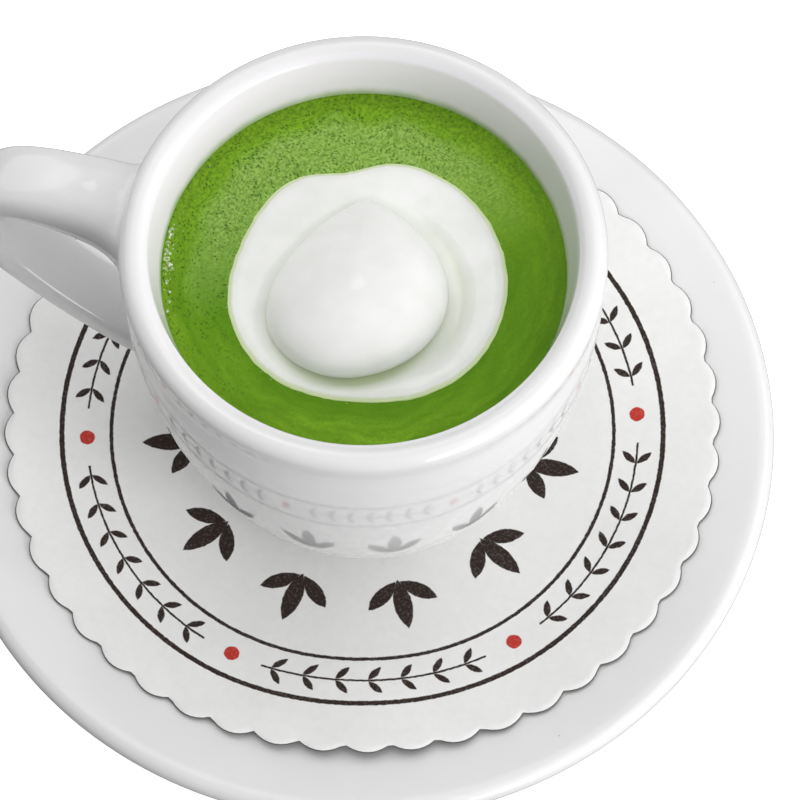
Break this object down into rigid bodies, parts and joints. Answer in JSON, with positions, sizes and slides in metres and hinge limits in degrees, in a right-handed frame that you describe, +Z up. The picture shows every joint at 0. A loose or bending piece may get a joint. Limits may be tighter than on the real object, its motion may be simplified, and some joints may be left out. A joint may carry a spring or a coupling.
{
  "type": "matcha latte in a cup with a saucer",
  "caption": "Matcha latte with a milk foam pool and a foam dollop, in a thick cup with a handle, on a scalloped paper doily and a saucer.",
  "frame": {"origin": "centre of the saucer's underside, on the surface it stands on", "axes": "+Z up, the cup's handle points to -X, +Y is away from a person who has the handle on the left"},
  "size_m": [0.1642, 0.1642, 0.0891],
  "materials": {
    "saucer": "white gloss glaze",
    "doily": "white uncoated paper with a printed border",
    "cup": "white gloss glaze",
    "matcha": "green drink with fine bubbles on top",
    "milk_foam": "white milk foam, satin",
    "foam_dollop": "white milk foam, satin"
  },
  "bodies": {
    "root": {"saucer": "saucer", "doily": "doily", "cup": "cup", "matcha": "matcha", "milk_foam": "milk_foam", "foam_dollop": "foam_dollop"}
  },
  "joints": []
}
